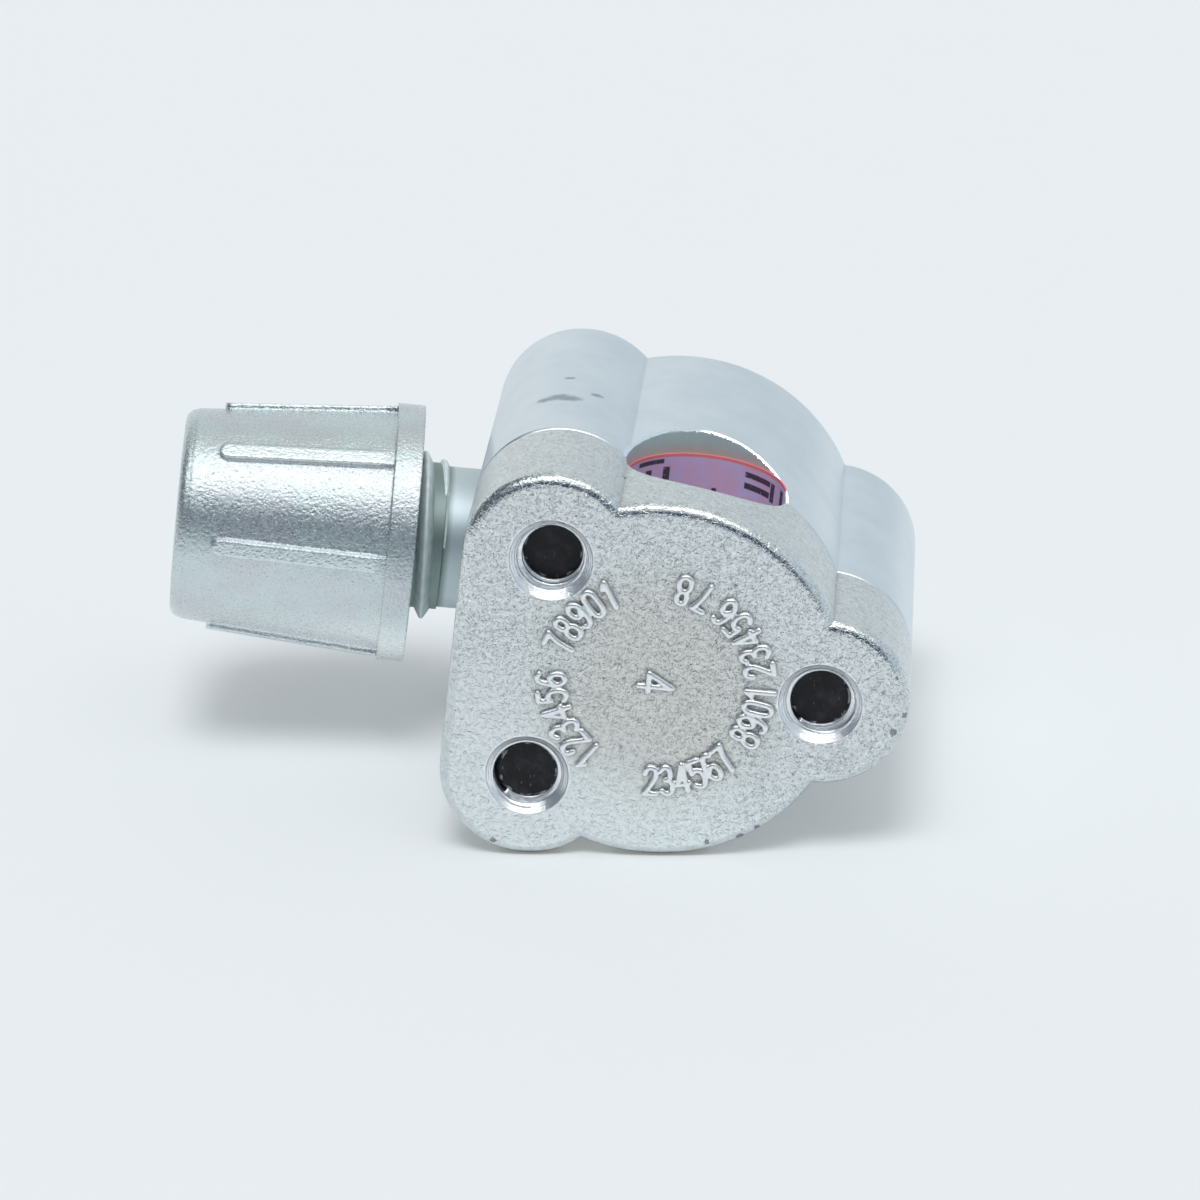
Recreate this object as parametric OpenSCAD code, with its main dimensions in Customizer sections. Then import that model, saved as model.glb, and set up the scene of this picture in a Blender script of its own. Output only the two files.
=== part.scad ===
// Clamp-on piercing valve for small refrigerant tubes.
// Each piece is drawn in the valve's own frame: y runs back from the plate's front face, z runs along the tube.
// seated() then rolls it onto the two rims that it lies on, with the origin under the middle of its box.

/* [Castings] */
// Radius of the main disc
main_r = 11.8; // [11.2:0.1:12.6]
// Radius of the lobe round each clamp screw
lobe_r = 5.55; // [5.2:0.05:5.9]
// Distance from the main centre to the two screws on the flat side
screw_left_x = 7.3; // [7.1:0.1:7.8]
// Height of those screws above and below the main centre
screw_left_z = 7.25; // [6.9:0.05:7.6]
// Distance from the main centre to the single screw
screw_right_x = 10.25; // [9.8:0.05:10.8]
// Thickness of the clamp plate
plate_t = 8.65; // [8.2:0.05:9.4]
// Depth of the whole clamp, front face to back face
clamp_d = 29.1; // [28.6:0.1:31]
// Rounding of the plate's front edge
front_round = 0.8; // [0.4:0.1:1.2]
// Rounding of the body's back edge
back_round = 1; // [0.5:0.1:1.4]
// Rounding of both edges at the parting line
parting_round = 0.3; // [0.15:0.05:0.5]

/* [Tube hole] */
// Radius of the hole that takes the tube
tube_r = 5.15; // [4.9:0.05:5.3]
// Distance from the parting line back to the tube's axis
tube_behind = 0.4; // [0:0.1:0.8]

/* [Access port] */
// Distance of the port's axis in front of the back face, at the flat side
port_back = 8.6; // [8.1:0.1:9.1]
// Angle by which the port leans towards the front, in degrees
port_lean = 5.3; // [3:0.1:6]
// Radius of the plain neck
neck_r = 4.63; // [4.4:0.01:4.75]
// Length of the neck out to the thread
neck_len = 2.5; // [2:0.1:3]
// Radius over the crests of the male thread, 7/16 inch by 20 to the inch
port_thread_r = 5.5; // [5.4:0.01:5.56]
// Depth of the male thread
port_thread_depth = 0.7; // [0.5:0.05:0.75]
// Length of the port from the flat side to its nose
port_len = 16; // [15.6:0.1:16.4]
// Radius of the flat nose
nose_r = 3.1; // [2.8:0.1:3.4]
// Radius of the gas passage
passage_r = 1.5; // [1.2:0.1:1.6]

/* [Port cap] */
// Distance from the flat side to the cap's open end
cap_start = 4.36; // [4:0.02:4.8]
// Radius of the cap's flange
flange_r = 8.45; // [8.2:0.05:8.8]
// Width of the flange
flange_w = 1.77; // [1.5:0.01:2.1]
// Radius of the cap's side next to the flange
cap_wide_r = 7.85; // [7.6:0.05:8]
// Radius of the cap's side at its closed end
cap_end_r = 6.85; // [6.7:0.05:7.2]
// Thickness of the closed end
cap_end_t = 2.2; // [1.8:0.1:2.6]
// Rounding of the closed end
cap_round = 0.75; // [0.4:0.05:1]
// Number of grip ribs that stand close together
rib_count = 4; // [3:1:5]
// Angle between those ribs, in degrees
rib_step = 51.4; // [45:0.1:55]
// Number of grip ribs spread over the rest of the round
rib_far_count = 2; // [1:1:3]
// Width of a grip rib
rib_w = 1.1; // [0.8:0.1:1.4]
// Height of a grip rib
rib_h = 0.4; // [0.25:0.05:0.5]
// Plain length between the closed end and the ribs
rib_gap = 2.45; // [1.8:0.05:3]
// Angle of the lowest close rib above the front, in degrees
rib_angle = 5.2; // [0:0.1:20]
// Thickness of the sealing disc in the cap
cap_seal_t = 1.6; // [1.2:0.1:2]

/* [Clamp screws] */
// Radius over the thread, number 8 screw
screw_r = 2.085; // [2:0.005:2.1]
// Length under the head, 7/8 inch
screw_len = 22.2; // [21.8:0.1:22.4]
// Radius of the head
head_r = 3.43; // [3.2:0.01:3.5]
// Height of the head
head_h = 4.17; // [3.8:0.01:4.4]
// Width across the flats of the hex socket, 9/64 inch
screw_hex = 3.57; // [3.2:0.01:3.8]
// Depth of the hex socket
screw_hex_depth = 2; // [1.6:0.1:2.4]
// Chamfer round both ends of the thread
screw_chamfer = 0.25; // [0.1:0.05:0.4]
// Depth of the lower screw's end behind the front face
lower_recess = 1; // [0.8:0.05:1.2]
// Depth of the upper screw's end behind the front face
upper_recess = 1.8; // [1.2:0.05:2]
// Depth of the side screw's end behind the front face
side_recess = 1.3; // [1.2:0.05:2]
// Radius of the chamfer round each tapped hole
hole_mouth_r = 2.65; // [2.4:0.05:2.9]

/* [Piercing needle] */
// Radius of the needle's shank
needle_r = 1.1; // [0.9:0.05:1.2]
// Length of the needle's cone
point_len = 1.9; // [1.5:0.1:2.1]
// Distance of the point behind the tube's surface at rest
point_back = 0.3; // [0.2:0.05:0.5]
// Radius of the drive screw, 5/16 inch
drive_r = 3.95; // [3.8:0.01:3.97]
// Length of the drive screw
drive_len = 3.7; // [3.5:0.05:3.8]
// Distance of the drive screw below the back face at rest
drive_back = 0.1; // [0.1:0.05:0.3]
// Width across the flats of its hex socket, 5/32 inch
drive_hex = 3.97; // [3.5:0.01:4.2]
// Depth of its hex socket
drive_hex_depth = 1.9; // [1.5:0.1:2]
// Length of the screw's wall in front of the needle's head
needle_neck = 0.5; // [0.4:0.05:0.6]
// Radius of the needle's head
needle_head_r = 1.5; // [1.4:0.05:1.6]
// Thickness of the needle's head
needle_head_t = 0.5; // [0.4:0.05:0.6]
// Width of the gas room round the needle
chamber_w = 0.8; // [0.7:0.05:0.9]
// Wall between the gas passage and the o-ring's gland
gland_wall = 0.1; // [0.1:0.05:0.2]
// Radius of the rubber seat round the needle
gasket_r = 3.35; // [3:0.05:3.6]
// Thickness of the rubber seat at its middle
gasket_t = 2.2; // [1.8:0.1:2.4]
// Thickness of the o-ring's section
ring_t = 1.2; // [1:0.05:1.3]
// Thickness of the washer that holds the o-ring in
washer_t = 0.5; // [0.4:0.05:0.6]

/* [Printed slip] */
// Height of the slip's top edge above the main centre
slip_top = 10.2; // [9.6:0.1:10.6]
// Height of the slip
slip_h = 6.6; // [5:0.1:6.6]
// Thickness of the card
slip_t = 0.08; // [0.05:0.01:0.08]
// Angle that the card wraps to each side of the tube hole's back
slip_wrap = 82; // [60:1:84]

/* [Clearances] */
// Radial clearance round the threads and the sliding needle
thread_gap = 0.05; // [0.03:0.01:0.1]
// Radial clearance round the shanks of the clamp screws
shank_gap = 0.215; // [0.15:0.005:0.3]
// Radial clearance round the screw heads
head_gap = 0.32; // [0.2:0.02:0.4]
// Radial clearance round the rubber seat and the sealing disc
seal_gap = 0.05; // [0.03:0.01:0.1]
// Clearance between the needle and the hole in the rubber seat
needle_gap = 0.25; // [0.2:0.05:0.4]
// Radial clearance between the o-ring and the needle
ring_gap = 0.03; // [0.02:0.01:0.05]
// Room that the gland leaves over the o-ring's thickness
ring_play = 0.1; // [0.05:0.05:0.15]
// Radial clearance round the washer
washer_gap = 0.15; // [0.05:0.05:0.2]
// Gap between faces that seat on each other and turn
seat_gap = 0.01; // [0.01:0.005:0.05]
// Gap between the card and the wall behind it
slip_gap = 0.01; // [0.01:0.001:0.01]

/* [Hidden] */
$fn = 96;

// Overlap that lets one cut or one union run on past another face
over = 0.5;

// Where the clamp lies: the flat side's x, and the three screws as [x, z]
flat_x = -screw_left_x - lobe_r;
upper_at = [-screw_left_x, screw_left_z];
lower_at = [-screw_left_x, -screw_left_z];
side_at = [screw_right_x, 0];

// Tube hole and needle share one centre line, midway between the screws
tube_x = (screw_right_x - screw_left_x) / 2;
tube_y = plate_t + tube_behind;
tube_back = tube_y + tube_r;

// Tapped holes, clearance holes and head seats
tap_r = screw_r + thread_gap;
shank_hole_r = screw_r + shank_gap;
head_hole_r = head_r + head_gap;
head_seat = lower_recess + screw_len - seat_gap;

// Port, measured along its own axis from the flat side
port_y = clamp_d - port_back;
port_root_r = port_thread_r - port_thread_depth;
cone_start = port_len - (port_root_r - nose_r);

// Length of the port's root inside the body
port_sunk = 3;

// Needle line, from the tube hole to the back face
pocket_r = gasket_r + seal_gap;
pocket_floor = tube_back + gasket_t;
chamber_r = needle_r + chamber_w;
passage_y = port_y - port_len * sin(port_lean);
gland_y = passage_y + passage_r + gland_wall;
gland_len = ring_t + ring_play;
gland_r = needle_r + ring_gap + ring_t + seal_gap;
washer_y = gland_y + gland_len;
drive_hole_r = drive_r + thread_gap;
washer_r = drive_hole_r - washer_gap;
drive_y = clamp_d - drive_back - drive_len;
needle_tip = tube_back + point_back;

// Cap, measured along the port's axis from the flat side
cap_hole_r = port_thread_r + thread_gap;
cap_floor = port_len + seat_gap + cap_seal_t + seat_gap;
cap_stop = cap_floor + cap_end_t;
cap_ribs_end = cap_stop - rib_gap;
rib_root_r = (cap_hole_r + cap_end_r) / 2;
rib_far_step = (360 - (rib_count - 1) * rib_step) / (rib_far_count + 1);
rib_turns = concat(
  [for (i = [0 : rib_count - 1]) rib_angle + i * rib_step],
  [for (i = [1 : rib_far_count]) rib_angle - i * rib_far_step]
);

// Rest: the valve rolls until the lower lobe and the main disc touch the ground together
lobe_arm = norm([screw_left_x, screw_left_z]);
roll = acos((main_r - lobe_r) / lobe_arm) - atan2(screw_left_x, screw_left_z);

// Ends of the box along x, which put its middle over the origin
cap_axis_x = cos(port_lean) * cos(roll);
cap_reach = (cap_stop - cap_round) * cap_axis_x
  + (cap_end_r - cap_round) * sqrt(1 - cap_axis_x * cap_axis_x)
  + cap_round;
box_left = flat_x * cos(roll) - cap_reach;
box_right = screw_right_x * cos(roll) + lobe_r;

module seated() {
  translate([-(box_left + box_right) / 2, -clamp_d / 2, main_r])
    rotate([0, roll, 0])
      children();
}

// Stands a piece that was turned about z along the y axis, at [x, z]
module along_y(at = [0, 0], y = 0) {
  translate([at[0], y, at[1]])
    rotate([-90, 0, 0])
      children();
}

// Stands a piece that was turned about z along the port's axis, its angle 0 at the front
module along_port() {
  translate([flat_x, port_y, 0])
    rotate([0, 0, port_lean])
      rotate([0, -90, 0])
        rotate([0, 0, -90])
          children();
}

// What a rounded edge takes off the corner at the origin, to the left of it and above it
module corner(r) {
  difference() {
    translate([-r, -over])
      square([r + over, r + over]);
    translate([-r, r])
      circle(r);
  }
}

// Half section of a casting's rim: radius, length, and the roundings of its two edges
module rim_section(r, len, first, last) {
  difference() {
    square([r, len]);
    translate([r, 0])
      corner(first);
    translate([r, len])
      mirror([0, 1])
        corner(last);
  }
}

// The outline that both castings share, with rounded edges, from y to y + len
module lobed_block(y, len, first, last) {
  along_y([0, 0], y)
    rotate_extrude()
      rim_section(main_r, len, first, last);
  for (at = [upper_at, lower_at, side_at])
    along_y(at, y)
      rotate_extrude()
        rim_section(lobe_r, len, first, last);
  translate([0, y, -screw_left_z])
    mirror([1, 0, 0])
      linear_extrude(2 * screw_left_z)
        rim_section(-flat_x, len, first, last);
}

module tube_hole() {
  translate([tube_x, tube_y, -2 * main_r])
    cylinder(h = 4 * main_r, r = tube_r);
}

// Neck, threaded length at the thread's root, and the cone up to the flat nose
module port() {
  along_port()
    rotate_extrude()
      polygon([
        [0, -port_sunk],
        [neck_r, -port_sunk],
        [neck_r, neck_len],
        [port_root_r, neck_len],
        [port_root_r, cone_start],
        [nose_r, port_len],
        [0, port_len]
      ]);
}

// Round holes along the needle's line, from the seat's pocket to the back face
module needle_line() {
  along_y([tube_x, 0], tube_y)
    cylinder(h = pocket_floor - tube_y, r = pocket_r);
  along_y([tube_x, 0], pocket_floor - over)
    cylinder(h = gland_y - pocket_floor + 2 * over, r = chamber_r);
  along_y([tube_x, 0], gland_y)
    cylinder(h = gland_len + over, r = gland_r);
  along_y([tube_x, 0], washer_y)
    cylinder(h = clamp_d - washer_y + over, r = drive_hole_r);
}

// The gas passage runs square to the tube, from the needle's chamber to the middle of the nose
module passage() {
  far = port_len * cos(port_lean) - flat_x;
  translate([tube_x, passage_y, 0])
    rotate([0, -90, 0])
      cylinder(h = far + tube_x + over, r = passage_r);
}

module valve_body() {
  color("lightsteelblue")
    difference() {
      union() {
        lobed_block(plate_t, clamp_d - plate_t, parting_round, back_round);
        port();
      }
      tube_hole();
      needle_line();
      passage();
      for (at = [upper_at, lower_at, side_at]) {
        along_y(at, plate_t - over)
          cylinder(h = clamp_d, r = shank_hole_r);
        along_y(at, head_seat)
          cylinder(h = clamp_d, r = head_hole_r);
      }
    }
}

module clamp_plate() {
  color("gainsboro")
    difference() {
      lobed_block(0, plate_t, front_round, parting_round);
      tube_hole();
      for (at = [upper_at, lower_at, side_at]) {
        along_y(at, -over)
          cylinder(h = plate_t + 2 * over, r = tap_r);
        along_y(at, -over)
          cylinder(h = hole_mouth_r - tap_r + over, r1 = hole_mouth_r + over, r2 = tap_r);
      }
    }
}

// Socket head screw, its end at y = 0 and its head at the far end
module cap_screw() {
  difference() {
    rotate_extrude()
      polygon([
        [0, 0],
        [screw_r - screw_chamfer, 0],
        [screw_r, screw_chamfer],
        [screw_r, screw_len],
        [head_r, screw_len],
        [head_r, screw_len + head_h - screw_chamfer],
        [head_r - screw_chamfer, screw_len + head_h],
        [0, screw_len + head_h]
      ]);
    translate([0, 0, screw_len + head_h - screw_hex_depth])
      cylinder(h = screw_hex_depth + over, d = screw_hex / cos(30), $fn = 6);
  }
}

module clamp_screw(at, recess) {
  color("dimgray")
    along_y(at, recess)
      cap_screw();
}

module clamp_screw_upper() {
  clamp_screw(upper_at, upper_recess);
}

module clamp_screw_lower() {
  clamp_screw(lower_at, lower_recess);
}

module clamp_screw_side() {
  clamp_screw(side_at, side_recess);
}

// Half section of the cap's outside, its side lifted by the rib's height where it is asked for
module cap_section(lift, end) {
  side_len = cap_stop - cap_start - flange_w;
  end_r = cap_wide_r - (cap_wide_r - cap_end_r) * (end - cap_start - flange_w) / side_len;
  polygon([
    [0, cap_start + over],
    [cap_wide_r + lift, cap_start + over],
    [cap_wide_r + lift, cap_start + flange_w],
    [end_r + lift, end],
    [0, end]
  ]);
}

// Grip ribs: planks with round ends, trimmed to the side's taper
module cap_ribs() {
  intersection() {
    rotate_extrude()
      cap_section(rib_h, cap_stop);
    for (turn = rib_turns)
      rotate([0, 0, turn])
        translate([rib_root_r, 0, 0])
          rotate([0, 90, 0])
            linear_extrude(flange_r)
              union() {
                translate([-cap_ribs_end + rib_w / 2, -rib_w / 2])
                  square([cap_ribs_end - rib_w / 2 - cap_start - over, rib_w]);
                translate([-cap_ribs_end + rib_w / 2, 0])
                  circle(d = rib_w);
              }
  }
}

module cap_shell() {
  rotate_extrude()
    difference() {
      union() {
        cap_section(0, cap_stop);
        translate([0, cap_start])
          square([flange_r, flange_w]);
      }
      translate([cap_end_r, cap_stop])
        mirror([0, 1])
          corner(cap_round);
    }
}

module port_cap() {
  color("silver")
    along_port()
      difference() {
        union() {
          cap_shell();
          cap_ribs();
        }
        translate([0, 0, cap_start - over])
          cylinder(h = cap_floor - cap_start + over, r = cap_hole_r);
      }
}

module cap_seal() {
  color("black")
    along_port()
      translate([0, 0, port_len + seat_gap])
        cylinder(h = cap_seal_t, r = cap_hole_r - seal_gap);
}

// Hardened pin: a cone, a shank, and a small head that the drive screw holds
module piercing_needle() {
  color("darkgray")
    along_y([tube_x, 0])
      rotate_extrude()
        polygon([
          [0, needle_tip],
          [needle_r, needle_tip + point_len],
          [needle_r, drive_y + needle_neck],
          [needle_head_r, drive_y + needle_neck],
          [needle_head_r, drive_y + needle_neck + needle_head_t],
          [0, drive_y + needle_neck + needle_head_t]
        ]);
}

module needle_drive_screw() {
  pocket = needle_head_r + thread_gap;
  color("lightgray")
    along_y([tube_x, 0])
      difference() {
        rotate_extrude()
          polygon([
            [needle_r + thread_gap, drive_y],
            [drive_r - screw_chamfer, drive_y],
            [drive_r, drive_y + screw_chamfer],
            [drive_r, drive_y + drive_len - screw_chamfer],
            [drive_r - screw_chamfer, drive_y + drive_len],
            [0, drive_y + drive_len],
            [0, drive_y + needle_neck + needle_head_t + seat_gap],
            [pocket, drive_y + needle_neck + needle_head_t + seat_gap],
            [pocket, drive_y + needle_neck - seat_gap],
            [needle_r + thread_gap, drive_y + needle_neck - seat_gap]
          ]);
        translate([0, 0, drive_y + drive_len - drive_hex_depth])
          cylinder(h = drive_hex_depth + over, d = drive_hex / cos(30), $fn = 6);
      }
}

module needle_o_ring() {
  color("black")
    along_y([tube_x, 0], gland_y + gland_len / 2)
      rotate_extrude()
        translate([needle_r + ring_gap + ring_t / 2, 0])
          circle(d = ring_t);
}

module o_ring_washer() {
  color("gold")
    along_y([tube_x, 0], washer_y)
      difference() {
        cylinder(h = washer_t, r = washer_r);
        translate([0, 0, -over])
          cylinder(h = washer_t + 2 * over, r = needle_r + thread_gap);
      }
}

// Rubber seat, hollowed on its front to the tube's round
module needle_gasket() {
  color("black")
    difference() {
      along_y([tube_x, 0], tube_y)
        cylinder(h = pocket_floor - tube_y, r = gasket_r);
      tube_hole();
      along_y([tube_x, 0], tube_y)
        cylinder(h = pocket_floor, r = needle_r + needle_gap);
    }
}

// Curled card against the back of the tube hole
module printed_slip() {
  outer = tube_r - slip_gap;
  color("plum")
    translate([tube_x, tube_y, slip_top - slip_h])
      rotate([0, 0, 90 - slip_wrap])
        rotate_extrude(angle = 2 * slip_wrap)
          translate([outer - slip_t, 0])
            square([slip_t, slip_h]);
}

seated() valve_body();
seated() clamp_plate();
seated() clamp_screw_upper();
seated() clamp_screw_lower();
seated() clamp_screw_side();
seated() port_cap();
seated() cap_seal();
seated() piercing_needle();
seated() needle_drive_screw();
seated() needle_o_ring();
seated() o_ring_washer();
seated() needle_gasket();
seated() printed_slip();
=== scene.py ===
import math

import bmesh
import bpy
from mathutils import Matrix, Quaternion, Vector


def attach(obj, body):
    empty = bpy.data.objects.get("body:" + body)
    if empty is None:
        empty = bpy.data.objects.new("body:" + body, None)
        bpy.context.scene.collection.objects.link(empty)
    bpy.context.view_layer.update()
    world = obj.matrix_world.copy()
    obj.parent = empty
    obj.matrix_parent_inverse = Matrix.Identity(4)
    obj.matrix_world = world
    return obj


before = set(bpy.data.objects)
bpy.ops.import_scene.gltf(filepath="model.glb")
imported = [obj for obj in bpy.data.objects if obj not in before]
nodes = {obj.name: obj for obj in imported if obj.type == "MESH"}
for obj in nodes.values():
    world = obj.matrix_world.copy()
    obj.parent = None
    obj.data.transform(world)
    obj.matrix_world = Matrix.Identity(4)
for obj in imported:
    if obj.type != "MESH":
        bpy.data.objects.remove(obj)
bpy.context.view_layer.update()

mm = 0.001
print("piercing valve: frame loaded,", len(nodes), "parts")


# camera: its place, aim and lens were fitted to the castings' outlines

cameraSet = {
    "place": (27.99, -305.71, 132.20),      # mm
    "look": (-0.07184, 0.92783, -0.36603),
    "roll": -1.316,                         # degrees
    "lens": 153.02,
    "sensor": 36,
}


def addObject(name, data):
    made = bpy.data.objects.new(name, data)
    bpy.context.scene.collection.objects.link(made)
    return made


def setUpCamera(values):
    eye = bpy.data.cameras.new("camera")
    eye.lens = values["lens"]
    eye.sensor_width = values["sensor"]
    eye.clip_start = 0.01
    holder = addObject("camera", eye)
    holder.location = Vector(values["place"]) * mm
    aim = Vector(values["look"]).to_track_quat("-Z", "Y")
    holder.rotation_euler = (aim @ Quaternion((0, 0, 1), math.radians(values["roll"]))).to_euler()
    bpy.context.scene.camera = holder


setUpCamera(cameraSet)
bpy.context.scene.view_settings.view_transform = "Standard"
print("camera placed")


# finishes: a wrapped socket, so that shader maths reads as plain expressions

class Wire:
    def __init__(self, finish, socket):
        self.finish = finish
        self.socket = socket

    def calc(self, operation, *values):
        return self.finish.node("Math", {"operation": operation}, dict(enumerate(values)))

    def __add__(self, other):
        return self.calc("ADD", self, other)

    __radd__ = __add__

    def __sub__(self, other):
        return self.calc("SUBTRACT", self, other)

    def __rsub__(self, other):
        return self.calc("SUBTRACT", other, self)

    def __mul__(self, other):
        return self.calc("MULTIPLY", self, other)

    __rmul__ = __mul__

    def __pow__(self, other):
        return self.calc("POWER", self, other)

    def __abs__(self):
        return self.calc("ABSOLUTE", self)

    def hypot(self, other):
        return (self * self + other * other) ** 0.5

    def larger(self, other):
        return self.calc("MAXIMUM", self, other)

    def wave(self):
        return self.calc("SINE", self)

    def step(self, start, end):                 # 0 before start, 1 after end, smooth between
        turn = {"interpolation_type": "SMOOTHSTEP"}
        if start < end:
            return self.finish.node("MapRange", turn, {"Value": self, "From Min": start, "From Max": end})
        return 1 - self.step(end, start)

    def band(self, low, high, soft):            # 1 from low to high, soft at its ends
        return self.step(low - soft, low) * self.step(high + soft, high)


class Finish:
    def __init__(self, name, world=None, **constants):
        self.material = world or bpy.data.materials.new(name)
        self.material.use_nodes = True
        self.tree = self.material.node_tree
        if world is None:
            self.shader = self.tree.nodes["Principled BSDF"]
            for key, value in constants.items():
                self.shader.inputs[key.replace("_", " ")].default_value = value

    def node(self, kind, settings=None, values=None, out=0):
        made = self.tree.nodes.new("ShaderNode" + kind)
        for key, value in (settings or {}).items():
            setattr(made, key, value)
        for key, value in (values or {}).items():
            self.feed(made.inputs[key], value)
        return Wire(self, made.outputs[out])

    def feed(self, socket, value):
        if isinstance(value, Wire):
            self.tree.links.new(value.socket, socket)
        else:
            socket.default_value = value

    def surface(self, **links):
        for key, value in links.items():
            self.feed(self.shader.inputs[key.replace("_", " ")], value)

    def place(self):                            # the part's own coordinates, in mm
        spot = self.node("TexCoord", out="Object")
        return self.node("VectorMath", {"operation": "SCALE"}, {0: spot, "Scale": 1 / mm})

    def facing(self):
        return self.node("TexCoord", out="Normal")

    def along(self, vector, direction, origin=(0, 0, 0)):
        moved = self.node("VectorMath", {"operation": "SUBTRACT"}, {0: vector, 1: origin})
        return self.node("VectorMath", {"operation": "DOT_PRODUCT"}, {0: moved, 1: direction}, out="Value")

    def apart(self, vector, point):
        return self.node("VectorMath", {"operation": "DISTANCE"}, {0: vector, 1: point}, out="Value")

    def stretch(self, vector, factors):
        return self.node("VectorMath", {"operation": "MULTIPLY"}, {0: vector, 1: factors})

    def noise(self, vector, scale, detail=2.0, rough=0.5, bend=0.0):
        return self.node("TexNoise", None, {
            "Vector": vector, "Scale": scale, "Detail": detail, "Roughness": rough, "Distortion": bend})

    def cells(self, vector, scale):
        return self.node("TexVoronoi", None, {"Vector": vector, "Scale": scale}, out="Distance")

    def mix(self, share, first, second):
        settings = {"data_type": "RGBA", "clamp_factor": True}
        return self.node("Mix", settings, {0: share, 6: first, 7: second}, out=2)

    def blend(self, share, first, second):      # of two directions
        return self.node("Mix", {"data_type": "VECTOR"}, {0: share, 4: first, 5: second}, out=1)

    # edge: mm by which sharp edges look broken
    # worn: where an edge is worn flat, and which way it faces there
    def bump(self, height, strength, distance=0.1, edge=0.0, worn=None):
        values = {"Height": height, "Strength": strength, "Distance": distance * mm}
        if edge:
            values["Normal"] = self.node("Bevel", {"samples": 8}, {"Radius": edge * mm})
        if worn:
            values["Normal"] = self.blend(worn[0], values["Normal"], worn[1])
        return self.node("Bump", None, values)


def largest(masks):
    most = masks[0]
    for mask in masks[1:]:
        most = most.larger(mask)
    return most


def rgb(red, green, blue):                      # a colour as seen on a screen, 0 to 255, made linear
    def linear(value):
        value = value / 255
        return value / 12.92 if value < 0.04045 else ((value + 0.055) / 1.055) ** 2.4
    return (linear(red), linear(green), linear(blue), 1)


# the valve's own frame: it lies rolled on its rims

valve = {
    "right": Vector((0.99168, 0, -0.12872)),
    "up": Vector((0.12872, 0, 0.99168)),
    "face": Vector((8.7863, -14.55, 11.8)),     # middle of the front casting's face, mm
    "screws": ((2.480, -14.55, 19.929), (0.614, -14.55, 5.550), (18.951, -14.55, 10.481)),
    "tube": Vector((10.249, -5.5, 11.6101)),
    "port": Vector((-3.957, 5.95, 13.454)),     # where the port leaves the flat side
    "outward": Vector((-0.98744, -0.09237, 0.12817)),
}


def fromHoles(f, spot):                         # mm from the nearest screw hole's axis
    nearest = None
    for x, y, z in valve["screws"]:
        far = f.apart(f.stretch(spot, (1, 0, 1)), (x, 0, z))
        nearest = far if nearest is None else nearest.calc("MINIMUM", nearest, far)
    return nearest


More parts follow.
